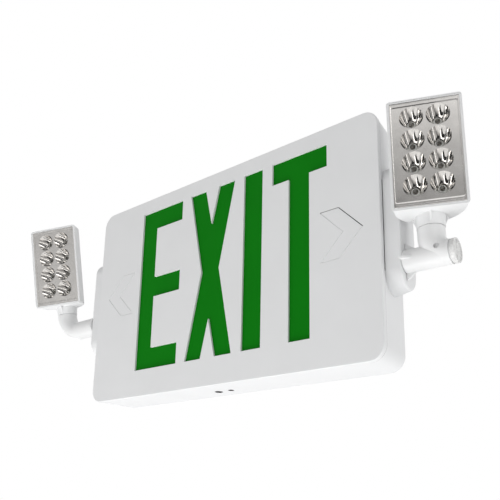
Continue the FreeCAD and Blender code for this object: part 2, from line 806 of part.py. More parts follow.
def make_battery_bracket():
    """Strap over the cells with a foot on the back plate at each end."""
    half = (cell_count * 2 * cell_radius - (cell_count - 1) * cell_overlap) / 2 + bracket_gap
    half_z = bracket_width / 2
    back = -back_plate_thickness
    top = back - 2 * cell_radius
    inner = box(pack_centre_x - half, pack_centre_x + half, top, back,
                pack_centre_z - half_z, pack_centre_z + half_z)
    outer_half = half + bracket_thickness
    outer = box(pack_centre_x - outer_half, pack_centre_x + outer_half,
                top - bracket_thickness, back, pack_centre_z - half_z, pack_centre_z + half_z)
    foot_half = half + bracket_foot
    feet = box(pack_centre_x - foot_half, pack_centre_x + foot_half,
               back - bracket_thickness, back, pack_centre_z - half_z, pack_centre_z + half_z)
    return fuse_all([outer, feet]).cut(inner)


def make_sign_led_board():
    top = housing_half_height - housing_wall
    return box(-strip_length / 2, strip_length / 2, -strip_from_wall - strip_width / 2,
               -strip_from_wall + strip_width / 2, top - strip_thickness, top)


def make_sign_leds():
    z = housing_half_height - housing_wall - strip_thickness - strip_led_height / 2
    pitch = strip_length / strip_led_count
    leds = []
    for index in range(strip_led_count):
        x = (index - (strip_led_count - 1) / 2) * pitch
        leds.append(block(x, -strip_from_wall, z, strip_led_size, strip_led_size,
                          strip_led_height))
    return Part.makeCompound(leds)


# ---------------------------------------------------------------- write the parts
def write(name, shape):
    if not shape.isValid():
        raise ValueError(name + " is not valid")
    shape.exportStep("parts/" + name + ".step")
    size = shape.BoundBox
    print("%-22s solids %2d volume %9.1f  x %7.1f %7.1f  y %6.1f %6.1f  z %6.1f %6.1f" % (
        name, len(shape.Solids), shape.Volume, size.XMin, size.XMax, size.YMin, size.YMax,
        size.ZMin, size.ZMax))


def main():
    os.makedirs("parts", exist_ok=True)
    write("face_plate", make_face_plate())
    write("legend_panel", make_legend_panel())
    write("housing_frame", make_housing_frame())
    write("back_plate", make_back_plate())
    write("charger_board", make_charger_board())
    write("transformer", make_transformer())
    write("board_capacitors", make_capacitors())
    write("test_switch", make_test_switch())
    write("test_button", make_test_button())
    write("pilot_light", make_pilot_light())
    write("battery_pack", make_battery_pack())
    write("battery_bracket", make_battery_bracket())
    write("sign_led_board", make_sign_led_board())
    write("sign_leds", make_sign_leds())
    write("right_mount_pad", make_mount_pad(1, right_arm_z))
    write("left_mount_pad", make_mount_pad(-1, left_arm_z))
    write("right_arm", make_right_arm())
    write("right_arm_end_cap", make_right_arm_end_cap())
    write("left_arm", make_left_arm())
    head_parts = {"head_shell": make_head_shell(), "head_lens": make_head_lens(),
                  "reflector": make_reflector(), "led_board": make_led_board(),
                  "head_leds": make_leds()}
    for side, hand, arm_z in ((1, "right_", right_arm_z), (-1, "left_", left_arm_z)):
        write(hand + "arm_clip", make_arm_clip(side, arm_z))
        write(hand + "neck_clip", make_neck_clip(side))
        for name, shape in head_parts.items():
            write(hand + name, place_head(shape, side))


main()
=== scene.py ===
# %% [markdown]
# This lesson dresses an emergency exit light: a slim wall sign with cut-out letters and two
# lamp heads on arms. The solid model of the sign is loaded first, at its real size and place.
# What is added later takes its place from it wherever it can, so that the two agree.

# %% Load the solid model
import json
import math
import bpy
import bmesh
from mathutils import Matrix, Vector


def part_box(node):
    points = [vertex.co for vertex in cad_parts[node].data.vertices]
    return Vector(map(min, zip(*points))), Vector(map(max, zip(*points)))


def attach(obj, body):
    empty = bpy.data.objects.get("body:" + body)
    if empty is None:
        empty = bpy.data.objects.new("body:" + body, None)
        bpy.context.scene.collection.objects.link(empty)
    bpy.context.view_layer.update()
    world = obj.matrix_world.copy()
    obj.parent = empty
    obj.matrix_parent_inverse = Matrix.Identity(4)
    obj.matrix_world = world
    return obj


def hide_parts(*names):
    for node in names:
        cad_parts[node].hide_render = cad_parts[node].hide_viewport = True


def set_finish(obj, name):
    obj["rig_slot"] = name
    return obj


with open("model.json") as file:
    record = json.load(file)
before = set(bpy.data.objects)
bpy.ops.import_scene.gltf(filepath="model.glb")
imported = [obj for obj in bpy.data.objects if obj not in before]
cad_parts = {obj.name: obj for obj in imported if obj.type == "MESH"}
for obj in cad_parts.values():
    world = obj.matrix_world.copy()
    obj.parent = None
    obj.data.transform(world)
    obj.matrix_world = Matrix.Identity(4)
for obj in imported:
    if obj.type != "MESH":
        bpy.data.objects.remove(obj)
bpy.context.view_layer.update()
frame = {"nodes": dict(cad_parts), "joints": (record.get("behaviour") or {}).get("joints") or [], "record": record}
nodes = frame["nodes"]
joints = {joint["name"]: joint for joint in frame["joints"]}
mm = 0.001

# %% [markdown]
# A sign is looked at from below and from one side, as a person under it would do. The camera
# stands a little under the sign and to its right. Its three directions are written as unit
# vectors, because they say plainly where right, up and ahead are. It has a normal lens, and the
# picture is shifted a little instead of turning the camera, so that the sign sits well in it.

# %% Camera
camera_data = bpy.data.cameras.new("viewer")
camera = bpy.data.objects.new("viewer", camera_data)
bpy.context.scene.collection.objects.link(camera)
to_right = Vector((0.7988, 0.6015, 0.0151))
to_top = Vector((0.1324, -0.2003, 0.9708))
ahead = Vector((-0.5869, 0.7734, 0.2396))
turn = Matrix((to_right, to_top, -ahead)).transposed().to_4x4()
camera.matrix_world = Matrix.Translation((0.3266, -0.4083, -0.1982)) @ turn
camera_data.sensor_width = 36.0
camera_data.lens = 45.22
camera_data.shift_x = -0.0205
camera_data.shift_y = 0.2288
camera_data.clip_start = 0.01
bpy.context.scene.camera = camera
print("camera stands at", [round(v, 3) for v in camera.matrix_world.translation])

# %% [markdown]
# Most pieces below are shaped by the same few hand movements: pick faces or edges by where they
# are, run an operator on them, and finish with a modifier. Small helpers keep those movements
# short. Each one starts by deselecting everything, because an operator acts on all that is
# selected, and a freshly loaded model is selected all over.

# %% Helpers for picking
def pick(obj):
    """Select one object alone and make it active."""
    if bpy.context.mode != "OBJECT":
        bpy.ops.object.mode_set(mode="OBJECT")
    bpy.ops.object.select_all(action="DESELECT")
    obj.select_set(True)
    bpy.context.view_layer.objects.active = obj


def settle(obj):
    """Put an object's place, turn and size into its mesh."""
    pick(obj)
    bpy.ops.object.transform_apply(location=True, rotation=True, scale=True)
    return obj


def choose(obj, kind, test):
    """In edit mode, select only the faces, edges or verts whose corners pass a test."""
    bpy.ops.mesh.select_mode(type={"faces": "FACE", "edges": "EDGE", "verts": "VERT"}[kind])
    bpy.ops.mesh.select_all(action="DESELECT")
    mesh = bmesh.from_edit_mesh(obj.data)
    for item in getattr(mesh, kind):
        places = [item.co] if kind == "verts" else [v.co for v in item.verts]
        if test(places):
            item.select_set(True)
    bmesh.update_edit_mesh(obj.data)


print("helpers for picking ready")

# %% [markdown]
# A piece starts as a block of the right size, and modifiers finish it: a Boolean to cut or to
# add, a Bevel to soften. Each modifier is applied at once, so that the mesh can be measured and
# cut again.

# %% Helpers for blocks and modifiers
def finish_with(obj, kind, **values):
    """Add a modifier, set it and apply it."""
    pick(obj)
    modifier = obj.modifiers.new(kind.lower(), kind)
    for name, value in values.items():
        setattr(modifier, name, value)
    bpy.ops.object.modifier_apply(modifier=modifier.name)


def block(name, low, high):
    """A cube primitive added at its size and place, between two corners."""
    bpy.ops.object.select_all(action="DESELECT")
    middle = [(a + b) / 2 for a, b in zip(low, high)]
    bpy.ops.mesh.primitive_cube_add(size=1, location=middle)
    obj = bpy.context.object
    obj.name = name
    obj.scale = [b - a for a, b in zip(low, high)]
    return settle(obj)


def join(first, *others):
    """Make several objects one."""
    pick(first)
    for other in others:
        other.select_set(True)
    bpy.ops.object.join()
    return first


print("helpers for blocks ready")

# %% [markdown]
# What repeats is modelled once and copied, and each copy gets its own mesh, so that it can be
# carried to its own place. Large flat faces need weighted normals, or the soft edges round them
# would shade them like a pillow.

# %% Helpers for copies and shading
def twin(obj, name):
    """A copy with its own mesh."""
    copy = obj.copy()
    copy.data = obj.data.copy()
    copy.name = name
    copy.data.name = name
    bpy.context.scene.collection.objects.link(copy)
    return copy


def smooth(obj, degrees):
    """Smooth shading up to an angle, with large faces kept flat right up to their edges."""
    pick(obj)
    bpy.ops.object.shade_smooth_by_angle(angle=math.radians(degrees))
    finish_with(obj, "WEIGHTED_NORMAL", keep_sharp=True)


def triangles(obj):
    """How many triangles a mesh will be drawn with."""
    return sum(len(p.vertices) - 2 for p in obj.data.polygons)


print("helpers for copies ready")

# %% [markdown]
# The face plate is a shallow moulded tray. Its front has softly rounded edges and 12 mm corners,
# and a low rim turns back to meet the housing. It could be a plane with thickness, but starting
# from a block lets the corner, the front edge and the rim be made in the order a mould is cut.
# The back is opened by an inset and an inward extrude, which leaves an even wall all round.

# %% Face plate blank
plate_low, plate_high = [Vector(corner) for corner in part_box("face_plate")]
face_front = plate_low.y
half_width, half_height = round(plate_high.x, 4), round(plate_high.z, 4)
rim_depth, wall, rim_wall, corner_radius, front_radius = (
    4.0 * mm, 1.9 * mm, 1.1 * mm, 12 * mm, 0.9 * mm)
rim_back, wall_back = face_front + rim_depth, face_front + wall
plate = block("stencil_face_plate", (-half_width, face_front, -half_height),
              (half_width, rim_back, half_height))
pick(plate)
bpy.ops.object.mode_set(mode="EDIT")
choose(plate, "edges", lambda p: abs(p[0].y - p[1].y) > mm)
bpy.ops.mesh.bevel(offset=corner_radius, segments=12, affect="EDGES")
choose(plate, "edges", lambda p: all(v.y < face_front + 1e-5 for v in p))
bpy.ops.mesh.bevel(offset=front_radius, segments=4, affect="EDGES")
choose(plate, "faces", lambda p: all(v.y > rim_back - 1e-5 for v in p))
bpy.ops.mesh.inset(thickness=rim_wall)
bpy.ops.mesh.extrude_region_move(TRANSFORM_OT_translate={"value": (0, wall_back - rim_back, 0)})
bpy.ops.object.mode_set(mode="OBJECT")
print("face plate blank:", triangles(plate), "triangles, front at", round(face_front, 4))

# %% [markdown]
# The letters of an exit sign follow a rule: six inches high, two inches wide, with strokes of
# three quarters of an inch, and the one-stroke letter only as wide as its stroke. They are cut
# right through the plate. A font would give other shapes, so each letter is put together from
# straight bars, which are blocks that reach through the plate from front to back.

# %% Sizes of the letters
letter_height, letter_width, stroke, letter_gap = 152.4 * mm, 50.8 * mm, 19.05 * mm, 9.96 * mm
legend_left, legend_foot = -93.67 * mm, -71.03 * mm
legend_head = legend_foot + letter_height
cut_front, cut_back = face_front - 5 * mm, face_front + 5 * mm


def bar(left, right, foot, head):
    """One straight stroke, as a block that reaches through the plate."""
    return block("bar", (left, cut_front, foot), (right, cut_back, head))


print("letters are", round(letter_height, 4), "high and", round(letter_width, 4), "wide")

# %% [markdown]
# The crossed letter is two bars that lean against each other. Each starts as an upright bar that
# a bisect cuts at half its height. Its ends are then slid apart sideways, so they stay level, as
# the ends of a painted letter do. The cut in the middle is made a bit wider, which gives the
# strokes the slight swell that they have where they cross.

# %% Leaning bar
end_width, swell = 17.8 * mm, 1.1


def leaning_bar(left, lean):
    """An upright bar whose ends are moved apart sideways and whose middle is a bit wider."""
    run = letter_width - end_width
    middle = left + letter_width / 2
    obj = bar(middle - end_width / 2, middle + end_width / 2, legend_foot, legend_head)
    pick(obj)
    bpy.ops.object.mode_set(mode="EDIT")
    bpy.ops.mesh.select_all(action="SELECT")
    bpy.ops.mesh.bisect(plane_co=(0, 0, legend_foot + letter_height / 2), plane_no=(0, 0, 1))
    bpy.ops.mesh.select_all(action="DESELECT")
    choose(obj, "verts", lambda p: p[0].z > legend_head - 1e-5)
    bpy.ops.transform.translate(value=(lean * run / 2, 0, 0))
    choose(obj, "verts", lambda p: p[0].z < legend_foot + 1e-5)
    bpy.ops.transform.translate(value=(-lean * run / 2, 0, 0))
    choose(obj, "verts", lambda p: abs(p[0].z - legend_foot - letter_height / 2) < 1e-4)
    bpy.ops.transform.resize(value=(swell, 1, 1), center_override=(middle, 0, 0))
    bpy.ops.object.mode_set(mode="OBJECT")
    return obj


print("a leaning bar is", round(end_width, 4), "wide at its ends")

# %% [markdown]
# The word is set like type. A cursor stands at the left of each letter in turn and moves on by
# the letter's width and the gap. Bars of one letter overlap a little, so that no thin wall is
# left between them when they are cut.

# %% Set the word
cursor, half_level = legend_left, legend_foot + letter_height / 2
cutters = [bar(cursor, cursor + stroke, legend_foot, legend_head)]
for foot in (legend_head - stroke, half_level - stroke / 2, legend_foot):
    cutters += [bar(cursor + stroke / 2, cursor + letter_width, foot, foot + stroke)]
cursor += letter_width + letter_gap
cutters += [leaning_bar(cursor, 1), leaning_bar(cursor, -1)]
cursor += letter_width + letter_gap
cutters += [bar(cursor, cursor + stroke, legend_foot, legend_head)]
cursor += stroke + letter_gap
cutters += [bar(cursor, cursor + letter_width, legend_head - stroke, legend_head),
            bar(cursor + (letter_width - stroke) / 2, cursor + (letter_width + stroke) / 2,
                legend_foot, legend_head - stroke / 2)]
print("letters run from", round(legend_left, 4), "to", round(cursor + letter_width, 4))

# %% [markdown]
# Each bar now cuts the plate with a Boolean modifier. The exact solver is slower than the fast
# one, but it copes with bars that touch or share a face. A used cutter is removed at once.

# %% Cut the letters through the plate
for cutter in cutters:
    finish_with(plate, "BOOLEAN", object=cutter, operation="DIFFERENCE", solver="EXACT")
    bpy.data.objects.remove(cutter)
print("plate with letters:", triangles(plate), "triangles")

# %% [markdown]
# Beside the letters each side has a chevron that an installer may knock out, to point the way.
# On a new sign it is only a fine groove around the chevron's outline. The groove's cutter is an
# upright bar whose middle is pushed sideways. Without its front and back it is a ribbon, and a
# Solidify modifier turns the ribbon into a thin ring of even width.

# %% Chevron grooves
groove_width, groove_depth = 0.55 * mm, 0.45 * mm
chevron_half, chevron_stroke, chevron_lean = 20 * mm, 15.7 * mm, 19.2 * mm
chevron_level, chevron_start = 4.9 * mm, 101.5 * mm
for side in (1, -1):
    ends = sorted((side * chevron_start, side * (chevron_start + chevron_stroke)))
    ring = block("chevron", (ends[0], face_front - mm, chevron_level - chevron_half),
                 (ends[1], face_front + groove_depth, chevron_level + chevron_half))
    pick(ring)
    bpy.ops.object.mode_set(mode="EDIT")
    bpy.ops.mesh.select_all(action="SELECT")
    bpy.ops.mesh.bisect(plane_co=(0, 0, chevron_level), plane_no=(0, 0, 1))
    choose(ring, "verts", lambda p: abs(p[0].z - chevron_level) < 1e-4)
    bpy.ops.transform.translate(value=(side * chevron_lean, 0, 0))
    choose(ring, "faces", lambda p: max(v.y for v in p) - min(v.y for v in p) < 1e-6)
    bpy.ops.mesh.delete(type="FACE")
    bpy.ops.object.mode_set(mode="OBJECT")
    finish_with(ring, "SOLIDIFY", thickness=groove_width, offset=0, use_even_offset=True)
    finish_with(plate, "BOOLEAN", object=ring, operation="DIFFERENCE", solver="EXACT")
    bpy.data.objects.remove(ring)
print("plate with grooves:", triangles(plate), "triangles")

# %% [markdown]
# No moulded edge is truly sharp. A small bevel on every remaining sharp edge gives the cut-outs
# and grooves the thin bright line that a real edge shows. The plate is joined with its four
# snaps afterwards, which hold it in the housing and are seen only when it is taken off.

# %% Soft edges and snaps
finish_with(plate, "BEVEL", width=0.12 * mm, segments=2, limit_method="ANGLE",
            angle_limit=math.radians(40))
snap_across, snap_up = 100 * mm, 91.35 * mm
half_snap, snap_root, snap_reach = Vector((7, 0, 0.75)) * mm, 0.5 * mm, 8 * mm
snaps = []
for side_x in (-1, 1):
    for side_z in (-1, 1):
        root = Vector((side_x * snap_across, wall_back, side_z * snap_up))
        snap = block("snap", root - half_snap - Vector((0, snap_root, 0)),
                     root + half_snap + Vector((0, snap_reach, 0)))
        finish_with(snap, "BEVEL", width=0.25 * mm, segments=2)
        snaps.append(snap)
plate = join(plate, *snaps)
smooth(plate, 35)
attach(plate, "sign_body")
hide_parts("face_plate")
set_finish(plate, "sign_plastic")
print("finished plate:", triangles(plate), "triangles")

# %% [markdown]
# Each lamp head stands on its arm's neck, leans with the arm, and is turned about the neck.
# Lens, reflector and lamps are the same on both heads, so each is modelled once, upright and
# facing forward with the neck's axis at the origin, and a copy is then carried to each head.
# The joint that swivels the head says where the neck is and how far it leans.

# %% Where the heads stand
head_turn = math.radians(22.5)
head_foot, head_height, head_front = 27.6 * mm, 80.9 * mm, -17.0 * mm
lens_level = head_foot + head_height / 2
head_place = {}
for hand in ("right", "left"):
    swivel = joints[hand + "_head_swivel"]
    lean = math.atan2(-swivel["axis"][1], swivel["axis"][2])
    head_place[hand] = (Matrix.Translation(swivel["pos_m"]) @ Matrix.Rotation(lean, 4, "X")
                        @ Matrix.Rotation(head_turn, 4, "Z"))
    print(hand, "head leans", round(math.degrees(lean), 1), "degrees")


def carry(model, kind, node, slot):
    """Put a copy of the model on each head, in place of the plain solid."""
    placed = []
    for hand in ("right", "left"):
        copy = twin(model, hand + "_" + kind)
        copy.data.transform(head_place[hand])
        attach(copy, hand + "_head")
        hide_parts(hand + "_" + node)
        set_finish(copy, slot)
        placed.append(copy)
    bpy.data.objects.remove(model)
    return placed


# %% [markdown]
# The reflector is a bright plate with eight round bowls, one to each lamp. A bowl is a parabola
# turned about its axis, because that shape throws a lamp's light straight ahead. It could be a
# profile that is spun. Here a round disc is extruded backwards ring by ring instead, and each
# ring is made smaller as the parabola says, so the shape is closed from the start.

# %% Bowl cutter
bowl_mouth, bowl_throat, bowl_depth, bowl_rings = 8.1 * mm, 2.5 * mm, 10.0 * mm, 9
extra_depth = 0.2 * mm


def bowl(x, z):
    """A closed round shape, wide at the front, at one lamp's place."""
    bpy.ops.object.select_all(action="DESELECT")
    bpy.ops.mesh.primitive_circle_add(vertices=48, radius=bowl_mouth, fill_type="NGON",
                                      location=(x, head_front, z),
                                      rotation=(math.radians(90), 0, 0))
    obj = settle(bpy.context.object)
    bpy.ops.object.mode_set(mode="EDIT")
    bpy.ops.mesh.select_all(action="SELECT")
    radius, depth = bowl_mouth, 0.0
    for ring in range(1, bowl_rings + 1):
        next_radius = bowl_mouth + (bowl_throat - bowl_mouth) * ring / bowl_rings
        share = (bowl_mouth ** 2 - next_radius ** 2) / (bowl_mouth ** 2 - bowl_throat ** 2)
        next_depth = bowl_depth * share + extra_depth * ring / bowl_rings
        bpy.ops.mesh.extrude_region_move(
            TRANSFORM_OT_translate={"value": (0, next_depth - depth, 0)})
        factor = next_radius / radius
        bpy.ops.transform.resize(value=(factor, 1, factor),
                                 center_override=(x, head_front + next_depth, z))
        radius, depth = next_radius, next_depth
    choose(obj, "verts", lambda p: p[0].y < head_front + 1e-6)
    bpy.ops.mesh.edge_face_add()
    bpy.ops.mesh.extrude_region_move(TRANSFORM_OT_translate={"value": (0, -mm, 0)})
    bpy.ops.mesh.select_all(action="SELECT")
    bpy.ops.mesh.normals_make_consistent(inside=False)
    bpy.ops.object.mode_set(mode="OBJECT")
    return obj


print("bowls are", round(2 * bowl_mouth, 4), "wide and", round(bowl_depth, 4), "deep")

# %% [markdown]
# The plate fills the head's mouth with a hair's breadth to spare, so no dark gap shows round it.
# A thicker core behind it carries the bowls. The bowls are cut out of the joined block one by
# one, which keeps every wall closed, and their rims are softened as a metallised moulding's are.

# %% Reflector
column_pitch, row_pitch, bowl_rise = 17.6 * mm, 16.8 * mm, 1.2 * mm


def centred_block(name, half_across, half_tall, front, back):
    """A block about the lens's centre, in mm, with depths counted back from the head's front."""
    return block(name, (-half_across * mm, head_front + front * mm, lens_level - half_tall * mm),
                 (half_across * mm, head_front + back * mm, lens_level + half_tall * mm))


reflector = centred_block("reflector", 23.0, 38.45, 0.3, 1.0)
core = centred_block("core", 18.7, 34.5, 0.5, 10.0)
finish_with(reflector, "BOOLEAN", object=core, operation="UNION", solver="EXACT")
bpy.data.objects.remove(core)
for column in (-0.5, 0.5):
    for row in (-1.5, -0.5, 0.5, 1.5):
        cutter = bowl(column * column_pitch, lens_level + bowl_rise + row * row_pitch)
        finish_with(reflector, "BOOLEAN", object=cutter, operation="DIFFERENCE", solver="EXACT")
        bpy.data.objects.remove(cutter)
finish_with(reflector, "BEVEL", width=0.12 * mm, segments=2, limit_method="ANGLE",
            angle_limit=math.radians(50))
smooth(reflector, 40)
print("reflector:", triangles(reflector), "triangles")
reflectors = carry(reflector, "bright_reflector", "reflector", "bright_reflector")

# %% [markdown]
# The lens is one clear moulding: a thin flange that lies on the head's rim, and a raised window
# with softly rounded edges. The rounded step is what catches the light as a pale frame, so it is
# made with real bevels. Both are plates with rounded corners, joined as one closed shape.

# %% Flange and window of the lens
def round_corners(obj, radius):
    """Round the four corners of a flat plate, seen from its front."""
    pick(obj)
    bpy.ops.object.mode_set(mode="EDIT")
    choose(obj, "edges", lambda p: abs(p[0].y - p[1].y) > 0.5 * mm)
    bpy.ops.mesh.bevel(offset=radius, segments=5, affect="EDGES")
    bpy.ops.object.mode_set(mode="OBJECT")
    return obj


lens = round_corners(centred_block("lens", 24.7, 39.05, -1.2, -0.1), 1.6 * mm)
window = round_corners(centred_block("window", 22.1, 36.3, -2.2, -0.6), 1.4 * mm)
finish_with(lens, "BOOLEAN", object=window, operation="UNION", solver="EXACT")
bpy.data.objects.remove(window)
finish_with(lens, "BEVEL", width=0.4 * mm, segments=3, limit_method="ANGLE",
            angle_limit=math.radians(50))
print("lens joined:", triangles(lens), "triangles")

# %% [markdown]
# A many-sided face between rounded corners would be split into long thin triangles, and those
# show as arrows in a clear piece. Four straight cuts across the lens keep the large flat part
# apart from the corners. Soft light passes a clear lens unhindered, so the lens casts no shadow
# and hides nothing from diffuse rays, which keeps the white rim below it as bright as it is.

# %% Finish the lens
cut_across, cut_up = 20 * mm, 34 * mm
pick(lens)
bpy.ops.object.mode_set(mode="EDIT")
for place, way in (((0, 0, lens_level - cut_up), (0, 0, 1)),
                   ((0, 0, lens_level + cut_up), (0, 0, 1)),
                   ((-cut_across, 0, 0), (1, 0, 0)), ((cut_across, 0, 0), (1, 0, 0))):
    bpy.ops.mesh.select_all(action="SELECT")
    bpy.ops.mesh.bisect(plane_co=place, plane_no=way)
bpy.ops.object.mode_set(mode="OBJECT")
smooth(lens, 40)
lenses = carry(lens, "clear_lens", "head_lens", "clear_lens")
for copy in lenses:
    copy.visible_diffuse = copy.visible_shadow = False
print("lenses:", triangles(lenses[0]), "triangles each")

# %% [markdown]
# Now the finishes. Every material here is a small tree of nodes on Object coordinates, so a
# pattern has a real size in metres and stays on its piece when the piece turns. One short
# helper adds a node, sets it and links it, which keeps each finish readable as a list.

# %% Helpers for nodes and groups
def add(tree, kind, sockets=None, **settings):
    """Add a shader node, set its options, then fill or link its sockets."""
    node = tree.nodes.new("ShaderNode" + kind)
    for name, value in settings.items():
        setattr(node, name, value)
    for name, value in (sockets or {}).items():
        if isinstance(value, bpy.types.NodeSocket):
            tree.links.new(value, node.inputs[name])
        else:
            node.inputs[name].default_value = value
    return node


def new_group(name, inputs, outputs):
    """An empty node group with named sockets, and its two end nodes."""
    group = bpy.data.node_groups.new(name, "ShaderNodeTree")
    for label, kind, value in inputs:
        socket = group.interface.new_socket(label, in_out="INPUT",
                                            socket_type="NodeSocket" + kind)
        if value is not None:
            socket.default_value = value
    for label, kind in outputs:
        group.interface.new_socket(label, in_out="OUTPUT", socket_type="NodeSocket" + kind)
    given = group.nodes.new("NodeGroupInput").outputs
    result = group.nodes.new("NodeGroupOutput").inputs
    return group, given, result


def feed(tree, inputs, **values):
    """Link finished values to the sockets of a shader or of a group's end node."""
    for label, value in values.items():
        tree.links.new(value, inputs[label.replace("_", " ")])


print("helpers for nodes ready")

# %% [markdown]
# The same few nodes come back in every pattern: a noise, a change of range, a sum, a colour that
# is made darker, and a height that bends the surface's normal. Each gets a helper that gives the
# socket it comes out of, so a pattern reads like a formula.

# %% Helpers for patterns
def noise(tree, place, scale, detail, **more):
    """Soft noise, mostly between 0.3 and 0.7."""
    sockets = {"Vector": place, "Scale": scale, "Detail": detail, **more}
    return add(tree, "TexNoise", sockets).outputs["Fac"]


def remap(tree, value, start, end, low, high):
    """Turn the range from start to end into low to high, and hold it at both ends."""
    return add(tree, "MapRange", {"Value": value, "From Min": start, "From Max": end,
                                  "To Min": low, "To Max": high}).outputs["Result"]


def maths(tree, operation, first, second=0.0):
    """One sum with one or two values."""
    return add(tree, "Math", {0: first, 1: second}, operation=operation).outputs[0]


def vectors(tree, operation, first, second):
    """One sum with two vectors, which gives a vector."""
    return add(tree, "VectorMath", {0: first, 1: second}, operation=operation).outputs["Vector"]


def dimmed(tree, colour, value):
    """A colour, made darker by a value."""
    return add(tree, "VectorMath", {0: colour, "Scale": value},
               operation="SCALE").outputs["Vector"]


def bump(tree, height, strength, distance):
    """A normal bent by a height, whose full size is a distance in metres."""
    return add(tree, "Bump", {"Height": height, "Strength": strength,
                              "Distance": distance}).outputs["Normal"]


print("helpers for patterns ready")

# %% [markdown]
# A group gives patterns only: a colour, a roughness, a bent normal. The shader itself stays in
# the material, where its even values are plain numbers that anyone can read and change. So a
# finish is one Principled shader with its even values, and a group placed in front of it.

# %% Helpers for finishes
def new_finish(name, **even):
    """A material with one Principled shader, and the values that are even all over it."""
    material = bpy.data.materials.new(name)
    material.use_nodes = True
    tree = material.node_tree
    shader = tree.nodes["Principled BSDF"]
    for label, value in even.items():
        shader.inputs[label.replace("_", " ")].default_value = value
    return material, tree, shader, add(tree, "TexCoord").outputs["Object"]


def wear(tree, shader, group, **values):
    """Place a group in a material and link its colour, roughness and normal to the shader."""
    node = add(tree, "Group", {name.replace("_", " "): v for name, v in values.items()},
               node_tree=group)
    feed(tree, shader.inputs, Base_Color=node.outputs["Color"],
         Roughness=node.outputs["Roughness"], Normal=node.outputs["Normal"])
    return node


finishes = {}
print("helpers for finishes ready")

# %% [markdown]
# Moulded plastic looks even, yet it never is. The mould's surface leaves a fine grain, the melt
# leaves broad clouds that are barely darker, and the gloss changes a little where it flowed.
# Nearly every outer piece is such plastic, so the effect is a group with the tint, the roughness
# and the depth of grain as its inputs.

# %% Moulded plastic group
moulded, given, result = new_group(
    "moulded_plastic",
    [("Place", "Vector", None), ("Tint", "Color", (0.8, 0.8, 0.8, 1)),
     ("Clouds", "Float", 0.04), ("Base Roughness", "Float", 0.42), ("Grain", "Float", 0.15)],
    [("Color", "Color"), ("Roughness", "Float"), ("Normal", "Vector")])
cloud = noise(moulded, given["Place"], 24.0, 3.0)
speck = noise(moulded, given["Place"], 1500.0, 2.0)
flow = noise(moulded, given["Place"], 70.0, 2.0, Distortion=0.8)
darkest = maths(moulded, "SUBTRACT", 1.0, given["Clouds"])
shade = remap(moulded, cloud, 0.3, 0.7, darkest, 1.0)
gloss = remap(moulded, flow, 0.0, 1.0, -0.09, 0.09)
feed(moulded, result, Color=dimmed(moulded, given["Tint"], shade),
     Roughness=maths(moulded, "ADD", given["Base Roughness"], gloss),
     Normal=bump(moulded, speck, given["Grain"], 0.05 * mm))
print("group made:", moulded.name)

# %% [markdown]
# The sign body, the lamp heads, the arms, the back plate, the button and the switch share that
# group with their own values: tint, clouds, roughness and grain. The sign has a satin grain. The
# heads and arms come from smoother moulds. The button and the switch are dull black plastic that
# reflects very little, so their specular level is low.

# %% White and black plastics
plastics = {
    "sign_plastic": ((0.795, 0.800, 0.805, 1), 0.03, 0.46, 0.18),
    "back_plastic": ((0.760, 0.765, 0.765, 1), 0.06, 0.55, 0.30),
    "lamp_plastic": ((0.805, 0.810, 0.812, 1), 0.03, 0.36, 0.10),
    "arm_plastic": ((0.800, 0.803, 0.803, 1), 0.04, 0.34, 0.12),
    "button_plastic": ((0.006, 0.006, 0.007, 1), 0.25, 0.85, 0.15),
    "switch_plastic": ((0.035, 0.036, 0.040, 1), 0.30, 0.45, 0.20),
}
for slot, (tint, clouds, roughness, depth) in plastics.items():
    shine = 0.5 if tint[0] > 0.1 else 0.08
    material, tree, shader, place = new_finish(slot, IOR=1.46, Specular_IOR_Level=shine)
    wear(tree, shader, moulded, Place=place, Tint=tint, Clouds=clouds,
         Base_Roughness=roughness, Grain=depth)
    finishes[slot] = material
print("plastics:", ", ".join(plastics))

# %% [markdown]
# The button and the pilot light sit in round holes in the sign's underside, and little light
# gets into the ring round them. The sign's own finish is darkened there. A group measures how
# far a point is from the hole's upright axis, and leaves the upper half of the sign alone.

# %% Hole shade group
pit, given, result = new_group(
    "hole_shade", [("Place", "Vector", None), ("Axis", "Vector", (0, 0, 0)),
                   ("Radius", "Float", 0.003)], [("Shade", "Float")])
level = vectors(pit, "MULTIPLY", given["Place"], (1, 1, 0))
reach = add(pit, "VectorMath", {0: level, 1: given["Axis"]}, operation="DISTANCE")
over = maths(pit, "SUBTRACT", reach.outputs["Value"], given["Radius"])
shade = remap(pit, over, 0.05 * mm, 0.2 * mm, 0.02, 1.0)
height = add(pit, "SeparateXYZ", {"Vector": given["Place"]}).outputs["Z"]
above = maths(pit, "GREATER_THAN", height, 0.0)
feed(pit, result, Shade=maths(pit, "MAXIMUM", shade, above))
print("group made:", pit.name)

# %% [markdown]
# The face plate's rim stops half a millimetre short of the housing, and the line between them
# looks dark. A band of shade is laid on the sign's finish about that line. It is kept to the two
# ends of the sign, where the line is narrow and deep, and off the pads, which stand further out.

# %% Shade in the open line
tree = finishes["sign_plastic"].node_tree
place = add(tree, "TexCoord").outputs["Object"]
spot = add(tree, "SeparateXYZ", {"Vector": place})
line_middle = rim_back + 0.25 * mm
near = maths(tree, "ABSOLUTE", maths(tree, "SUBTRACT", spot.outputs["Y"], line_middle))
kept = remap(tree, near, 0.3 * mm, 0.6 * mm, 0.1, 1.0)
along = maths(tree, "ABSOLUTE", spot.outputs["X"])
for start, end in ((half_width - 4 * mm, half_width - 14 * mm),
                   (half_width + 0.1 * mm, half_width + 0.3 * mm)):
    kept = maths(tree, "MAXIMUM", kept, remap(tree, along, start, end, 0.0, 1.0))
print("open line shaded at a depth of", round(line_middle - face_front, 5))

